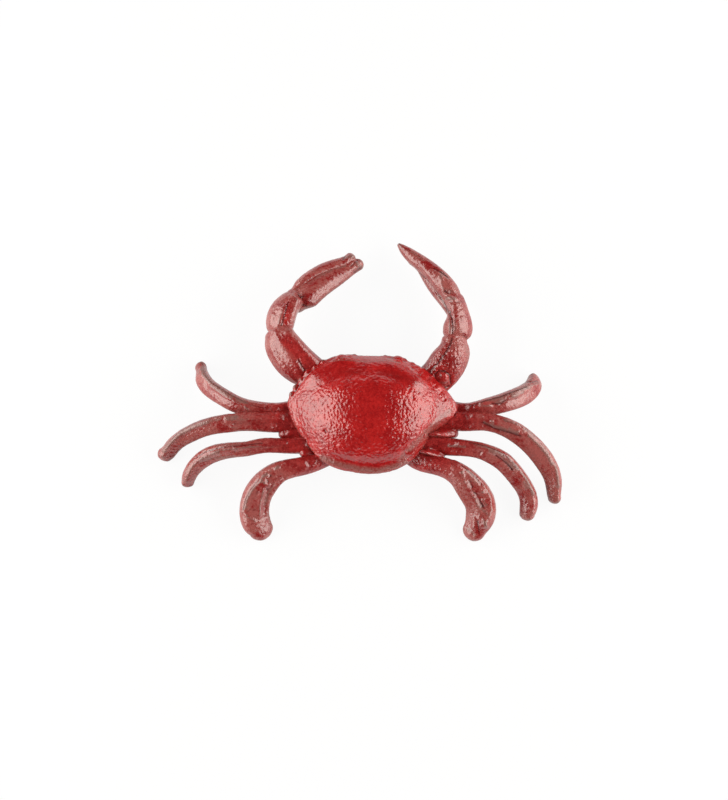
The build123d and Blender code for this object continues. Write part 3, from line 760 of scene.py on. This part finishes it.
        (SWELL, 1.3, 0.45, [(37.7, -32.7), (38.1, -33.7)]),
        (SWELL, 1.3, 0.45, [(42.2, -38.6), (45.1, -39.4)]),
        (SWELL, 1.3, 0.45, [(45.5, -42.2), (46.6, -43.6)]),
        (SWELL, 1.3, 0.45, [(42.3, -48.6), (42.4, -51.6)]),
        (SWELL, 1.3, 0.45, [(46.0, -48.9), (46.7, -51.0)]),
        (KEEL, 1.2, 0.45, [(34.8, -30.8), (37.3, -32.3)]),
        (GROOVE, 0.8, 0.3, [(43.8, -49.5), (44.3, -53.7)]),
        (RUB, 1.4, 0.7, [(38.5, -35.5), (42.2, -39.7), (44.8, -45.0), (47.0, -47.1)]),
        (RUB, 1.4, 0.7, [(39.2, -31.5), (42.9, -34.3)]),
        (RUB, 1.4, 0.7, [(40.2, -52.0), (42.8, -54.4)]),
    ],
    "carapace": [
        (RUB, 3.4, 0.8, [(33.4, -9.7), (28.9, -13.7), (23.7, -19.3), (19.0, -24.0), (14.9, -28.3)]),
        (LIFT, 7.0, 1.7, [
            (-17.4, 3.9), (-13.0, 6.9), (-7.4, 8.3), (0.7, 8.5), (9.9, 8.1), (16.9, 5.7),
            (21.6, 2.4)]),
        (POLISHED, 11.0, 1.25, [(-15.1, 3.7), (-7.7, 5.2), (0.7, 6.3), (11.3, 5.3), (19.4, 2.5)]),
        (POLISHED, 4.0, 0.8, [(-7.0, -28.8), (0.7, -30.3), (11.3, -29.7)]),
        (GROOVE, 1.3, 0.25, [(-15.9, 6.5), (-17.8, 5.1), (-20.0, 2.9), (-21.8, 0.7), (-23.2, -1.7)]),
        # Painted shade along the groove at the front left margin of the shell
        (PAINTED_SHADE, 1.4, 0.35, [(-15.1, 6.5), (-17.8, 4.8), (-20.3, 2.2), (-22.2, -0.1)]),
        (GROOVE, 1.2, 0.09, [
            (-24.4, -2.3), (-23.6, -6.3), (-22.9, -10.5), (-22.1, -15.2), (-20.2, -19.1),
            (-17.6, -23.3), (-14.3, -26.2), (-10.3, -28.1)]),
        (GROOVE, 1.1, 0.15, [
            (18.8, 6.9), (20.9, 4.6), (23.5, 2.8), (25.7, 0.9), (27.5, -1.5), (29.3, -3.5),
            (31.1, -6.1), (32.7, -8.1)]),
        (TROUGH, 1.0, 0.14, [(19.4, 5.4), (20.2, 7.3)]),
        (TROUGH, 1.0, 0.14, [(22.4, 3.5), (23.6, 5.4)]),
        (TROUGH, 1.0, 0.14, [(25.3, 1.3), (26.6, 3.8)]),
        (TROUGH, 1.0, 0.14, [(27.1, -1.5), (29.1, 0.5)]),
        (TROUGH, 1.0, 0.14, [(29.3, -3.5), (31.3, -1.9)]),
        (TROUGH, 1.0, 0.14, [(31.1, -6.1), (33.4, -4.9)]),
        (SWELL, 1.1, 0.25, [(20.2, 7.1), (21.8, 7.0), (23.2, 5.6)]),
        (SWELL, 1.1, 0.25, [(23.9, 5.0), (25.1, 5.0)]),
        (SWELL, 1.1, 0.25, [(30.9, -2.8), (31.9, -4.5), (32.3, -5.9)]),
        (SWELL, 1.1, 0.25, [(28.7, 0.2), (30.2, -1.2)]),
        (KEEL, 1.0, 0.3, [(34.1, -11.0), (31.9, -12.5), (28.9, -13.7), (26.7, -15.6)]),
        (TROUGH, 3.0, 0.35, [(29.0, -4.6), (29.3, -8.1), (28.4, -11.8)]),
        (TROUGH, 2.2, 0.35, [(-9.2, -27.3), (-3.3, -28.7), (4.7, -29.7), (12.4, -28.5), (17.9, -26.5)]),
        (SWELL, 3.5, 0.5, [(-8.5, 9.1), (-3.4, 9.6)]),
        (GROOVE, 1.0, 0.22, [(-10.8, 8.9), (-7.1, 10.1), (-3.4, 9.8)]),
        (GROOVE, 1.0, 0.22, [(10.7, 10.0), (13.6, 9.5), (16.5, 8.9)]),
        (TROUGH, 4.0, 0.3, [(-3.4, 6.4), (4.7, 5.1), (13.5, 3.4)]),
        (PIT, 1.0, 0.28, [(-12.4, -18.0), (-12.0, -18.7)]),
        (PIT, 1.0, 0.28, [(-23.0, -18.0), (-22.6, -18.4)]),
        (PIT, 1.0, 0.28, [(19.2, -6.2), (19.6, -6.6)]),
        (PIT, 1.3, 0.2, [(1.1, 0.9), (1.8, 0.9)]),
        # This rubbed band along the rear margin is wear and also painted reflection of the light on that
        # face
        (RUB, 3.2, 0.9, [
            (-13.6, -27.0), (-9.9, -28.8), (-5.2, -30.1), (0.3, -31.4), (6.9, -31.8), (13.1, -30.3),
            (17.1, -28.7)]),
        (RUB, 1.2, 0.75, [(-10.0, 8.5), (-5.2, 8.7), (2.2, 8.1), (9.5, 8.5), (15.1, 7.8)]),
        (RUB, 1.3, 0.6, [(-25.8, -4.9), (-25.1, -8.6), (-23.9, -13.1), (-22.9, -16.3)]),
        (RUB, 1.0, 0.6, [(-22.5, -17.0), (-19.9, -21.6), (-15.1, -25.5), (-10.7, -27.7)]),
        (RUB, 1.6, 0.45, [(-7.7, -27.0), (-8.0, -21.5), (-8.3, -16.6)]),
        (RUB, 1.6, 0.45, [(15.7, -25.4), (16.3, -21.5), (15.9, -16.7), (15.5, -11.4)]),
        (RUB, 2.0, 0.3, [(-10.7, -26.2), (-3.3, -27.8)]),
        (RUB, 2.0, 0.3, [(14.9, -26.5), (17.8, -24.3)]),
        # Painted shade on the front slope of the shell, which reflects no light
        (PAINTED_SHADE, 4.0, 0.5, [(7.6, 3.6), (14.9, 1.6), (20.4, -0.2)]),
        (PAINTED_SHADE, 4.0, 0.5, [(-7.0, 4.1), (0.3, 3.4)]),
    ],
    "underbody": [
        (RAMP, 3.6, 5.2, [(28.7, -19.2), (37.5, -19.3)]),
        (RAMP, 3.4, 5.2, [(24.6, -26.2), (31.9, -26.7)]),
        (LIFT, 6.0, 2.0, [(33.2, -14.0), (29.9, -16.1), (24.2, -22.6)]),
        (LIFT, 6.0, 1.6, LEFT_ROOTS[:2]),
        (LIFT, 2.8, 0.6, [(-28.5, -18.4), (-26.3, -18.4)]),
        (LIFT, 2.8, 0.8, [(-21.8, -25.5), (-18.1, -26.5)]),
    ],
}

COARSE_SKIN, FINE_SKIN = 1.6, 0.7

limbs = [f"{side}_leg_{number}" for side in ("left", "right") for number in (1, 2, 3, 4)]
limbs += [f"{side}_claw_{part}" for side in ("left", "right") for part in ("arm", "palm", "finger")]

# For each casting its voxel size, the rounds of smoothing, the depths of its coarse and its fine skin, and
# its slot and paint, with the lengths in millimetres
castings = {node: (0.3, 2, 0.11, 0.08, "limb_paint", limb_paint) for node in limbs}
castings["carapace"] = (0.33, 4, 0.16, 0.12, "shell_paint", shell_paint)
castings["underbody"] = (0.35, 6, 0.2, 0.12, "belly_paint", belly_paint)

trees = search_trees()
for node, (voxel, smoothing, coarse, fine, slot, material) in castings.items():
    marks = TOOL_MARKS[node]
    piece = casting(node, voxel * MM, smoothing)
    seams = seat(piece, node, trees)
    carve(piece, marks)
    roughen(piece, COARSE_SKIN * MM, coarse * MM)
    roughen(piece, FINE_SKIN * MM, fine * MM)
    keep_in_box(piece)
    mark_wear(piece, node, marks, seams)
    finish_piece(piece, node, material)

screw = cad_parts["body_screw"].data
screw.materials.clear()
screw.materials.append(screw_steel)


# Stage

WHITE = (1, 1, 1, 1)
FLOOR_SIZE = 4.0
FLOOR_WHITE, FLOOR_ROUGHNESS = (0.9, 0.9, 0.9, 1), 0.9
FLOOR_GLOW_SEEN, FLOOR_GLOW_MIRRORED = 0.92, 0.9
HORIZON_HEIGHT = 0.06
WORLD_LIGHT = 0.18

LAMP_ELEVATION, LAMP_DISTANCE = 24, 0.6
LAMP_WIDTH, LAMP_HEIGHT = 1.05, 0.44
LAMP_POWER = 6.6
WARM_WHITE = (1.0, 0.97, 0.92)

CAMERA_SENSOR, CAMERA_LENS = 36, 93.23
CAMERA_PLACE = (1.79 * MM, -126.26 * MM, 699.37 * MM)
CAMERA_LEAN = 10
CAMERA_CLIP_START = 0.01


def ray_kinds(tree):
    """Wires that are 1 for a ray from the camera, for a mirrored one and for one that has passed through"""
    rays = tree.nodes.new("ShaderNodeLightPath")
    kinds = ("Is Camera Ray", "Is Glossy Ray", "Is Transmission Ray")
    return [Wire(tree, rays.outputs[kind]) for kind in kinds]


def white_floor():
    """A floor that takes light and shadow but looks almost white from the camera and in reflections"""
    bpy.ops.mesh.primitive_plane_add(size=FLOOR_SIZE, location=(0, 0, 0))
    floor = bpy.context.object
    floor.name = "floor"
    paint = bpy.data.materials.new("floor_white")
    paint.use_nodes = True
    tree = paint.node_tree
    shader = tree.nodes["Principled BSDF"]
    shader.inputs["Base Color"].default_value = FLOOR_WHITE
    shader.inputs["Roughness"].default_value = FLOOR_ROUGHNESS
    camera_ray, glossy_ray, passing_ray = ray_kinds(tree)
    seen = camera_ray * FLOOR_GLOW_SEEN
    share = seen.larger(glossy_ray.larger(passing_ray) * FLOOR_GLOW_MIRRORED)
    glow = add_node(tree, "ShaderNodeEmission", {}, {"Color": WHITE, "Strength": 1.0})
    lit = Wire(tree, shader.outputs[0])
    mix = add_node(tree, "ShaderNodeMixShader", {}, (share, lit, glow))
    tree.links.new(mix.socket, tree.nodes["Material Output"].inputs["Surface"])
    floor.data.materials.append(paint)


def studio_world():
    """White for the camera and near the horizon of reflections, dark above that, and dim as a light"""
    world = bpy.data.worlds.new("studio")
    bpy.context.scene.world = world
    world.use_nodes = True
    tree = world.node_tree
    camera_ray, glossy_ray, passing_ray = ray_kinds(tree)
    coordinates = tree.nodes.new("ShaderNodeTexCoord")
    direction = Wire(tree, coordinates.outputs["Generated"])
    height = add_node(tree, "ShaderNodeSeparateXYZ", {}, (direction,), "Z")
    near_horizon = 1 - height.between(0.0, HORIZON_HEIGHT)
    white = camera_ray.larger((glossy_ray + passing_ray) * near_horizon)
    strength = white + (1 - white) * (1 - glossy_ray) * WORLD_LIGHT
    background = tree.nodes["Background"]
    background.inputs["Color"].default_value = WHITE
    tree.links.new(strength.socket, background.inputs["Strength"])


def softbox(name, azimuth):
    """A wide area light that faces the crab from the side at the given angle, in degrees"""
    turn, rise_angle = math.radians(azimuth), math.radians(LAMP_ELEVATION)
    level = math.cos(rise_angle)
    direction = Vector((math.sin(turn) * level, math.cos(turn) * level, math.sin(rise_angle)))
    place = direction * LAMP_DISTANCE
    light = bpy.data.lights.new(name, "AREA")
    light.shape = "RECTANGLE"
    light.size, light.size_y = LAMP_WIDTH, LAMP_HEIGHT
    light.energy = LAMP_POWER
    light.color = WARM_WHITE
    lamp = bpy.data.objects.new(name, light)
    lamp.location = place
    lamp.rotation_euler = (-place).to_track_quat("-Z", "Y").to_euler()
    bpy.context.scene.collection.objects.link(lamp)


def plan_camera():
    """A camera that looks almost straight down"""
    data = bpy.data.cameras.new("camera")
    data.sensor_fit = "HORIZONTAL"
    data.sensor_width = CAMERA_SENSOR
    data.lens = CAMERA_LENS
    data.clip_start = CAMERA_CLIP_START
    camera = bpy.data.objects.new("camera", data)
    camera.location = CAMERA_PLACE
    camera.rotation_euler = (math.radians(CAMERA_LEAN), 0, 0)
    bpy.context.scene.collection.objects.link(camera)
    bpy.context.scene.camera = camera


white_floor()
studio_world()
softbox("left_softbox", -90)
softbox("right_softbox", 90)
plan_camera()
bpy.context.scene.view_settings.view_transform = "Standard"
